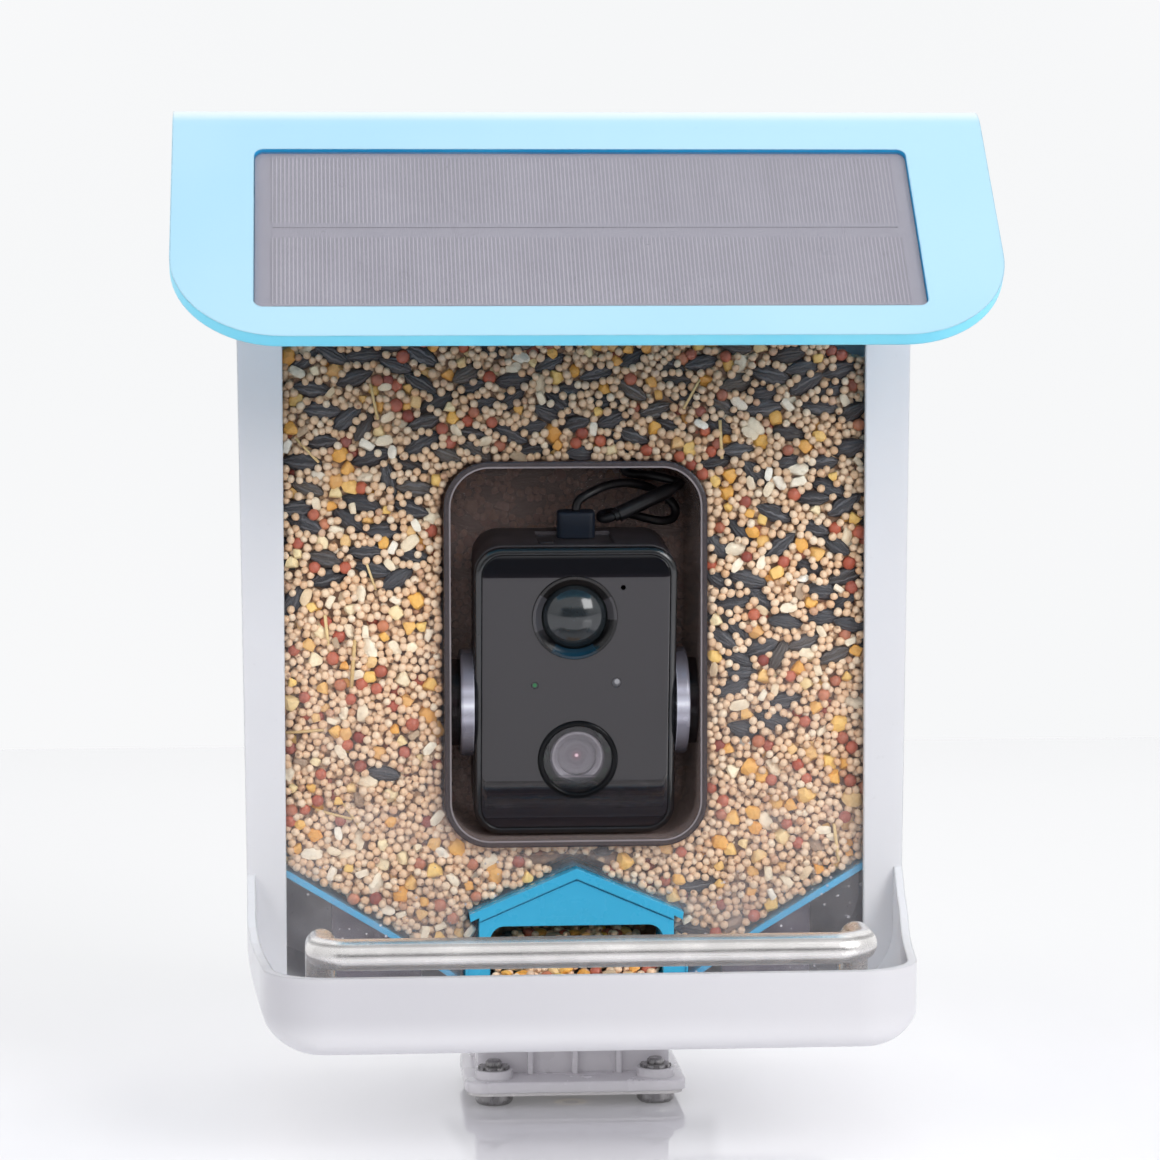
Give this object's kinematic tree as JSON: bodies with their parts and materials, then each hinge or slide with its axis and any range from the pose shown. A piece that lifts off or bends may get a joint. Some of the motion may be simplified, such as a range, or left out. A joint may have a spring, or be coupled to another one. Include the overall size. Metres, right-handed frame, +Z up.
{
  "type": "bird feeder",
  "caption": "Window-front bird feeder with a gabled solar roof that hinges open, a tilting camera in a pocket, seed hopper, tray and steel perch bar on a screw-on base.",
  "frame": {"origin": "centre of the footprint, at the level of the four screw heads that it stands on", "axes": "+X to the viewer's right and -Y towards the viewer of the front, +Z up"},
  "size_m": [0.2252, 0.1535, 0.2849],
  "materials": {
    "black_plastic": "black moulding",
    "black_rubber": "black rubber",
    "blue_plastic": "light blue moulding",
    "board_green": "circuit board",
    "brass": "turned brass",
    "camera_black": "high-gloss black",
    "camera_shell_grey": "dark grey moulding",
    "cell_silver": "wrapped cells",
    "clear_plastic": "clear sheet",
    "dome_plastic": "dark sensor dome",
    "lead_black": "black cable sheath",
    "led_green": "green light guide",
    "lens_glass": "dark coated lens",
    "pad_grey": "pale grey pad",
    "polished_steel": "polished stainless bar",
    "ring_chrome": "dark gloss ring",
    "screw_steel": "zinc-plated steel",
    "seed_mix": "mixed bird seed",
    "sensor_white": "white light sensor window",
    "slate_plastic": "dark slate plug moulding",
    "smoke_plastic": "smoke-tinted moulding",
    "solar_grey": "solar cells with fine silver lines",
    "white_plastic": "white moulding, fine satin grain"
  },
  "bodies": {
    "root": {"back_panel": "white_plastic", "back_panel_screws": "screw_steel", "bracket_screws": "screw_steel", "cable_duct": "white_plastic", "camera_lead": "lead_black", "camera_tub": "smoke_plastic", "front_window": "clear_plastic", "hinge_pins": "screw_steel", "housing": "white_plastic", "lead_connector": "lead_black", "left_funnel_plate": "blue_plastic", "lock_washers": "screw_steel", "mount_bracket": "white_plastic", "mount_pad": "pad_grey", "mount_screws": "screw_steel", "outlet_hood": "blue_plastic", "perch_bar": "polished_steel", "perch_screws": "screw_steel", "right_funnel_plate": "blue_plastic", "seed_fill": "seed_mix", "solar_lead": "lead_black", "thread_insert": "brass", "tray_seeds": "seed_mix", "tub_grommet": "black_rubber", "tub_pivot_bosses": "smoke_plastic", "window_retainers": "white_plastic"},
    "roof": {"junction_box": "black_plastic", "lead_clips": "blue_plastic", "liner_screws": "screw_steel", "roof_lead": "lead_black", "roof_liner": "blue_plastic", "roof_seal": "black_rubber", "roof_shell": "blue_plastic", "solar_cells": "solar_grey", "solar_cover": "clear_plastic", "solar_substrate": "black_plastic"},
    "camera": {"battery_cells": "cell_silver", "button_switch": "black_plastic", "camera_bezel": "camera_black", "camera_front_panel": "camera_black", "camera_gasket": "black_rubber", "camera_rear_shell": "camera_shell_grey", "camera_screws": "screw_steel", "lens_barrel": "black_plastic", "lens_ring": "ring_chrome", "lens_window": "lens_glass", "light_sensor": "sensor_white", "main_board": "board_green", "microphone": "screw_steel", "pir_dome": "dome_plastic", "pir_ring": "ring_chrome", "pir_sensor": "screw_steel", "pivot_discs": "camera_shell_grey", "port_board": "board_green", "speaker": "black_plastic", "status_led": "led_green", "usb_plug": "slate_plastic", "usb_socket": "screw_steel"},
    "button": {"power_button": "camera_shell_grey"}
  },
  "joints": [
    {"name": "roof_hinge", "type": "hinge", "parent": "root", "child": "roof", "pos_m": [0, 0.07325, 0.2538], "axis": [-1, 0, 0], "range_deg": [0, 100], "deforming": ["roof_lead"]},
    {"name": "camera_tilt", "type": "hinge", "parent": "root", "child": "camera", "pos_m": [0, 0.01425, 0.1163], "axis": [-1, 0, 0], "range_deg": [-1.5, 10], "deforming": ["camera_lead"]},
    {"name": "power_button_press", "type": "slide", "parent": "camera", "child": "button", "axis": [0, 0.1392, -0.9903], "range_m": [0, 0.0008], "stiffness_N_per_m": 400, "springref_m": -0.0004}
  ]
}
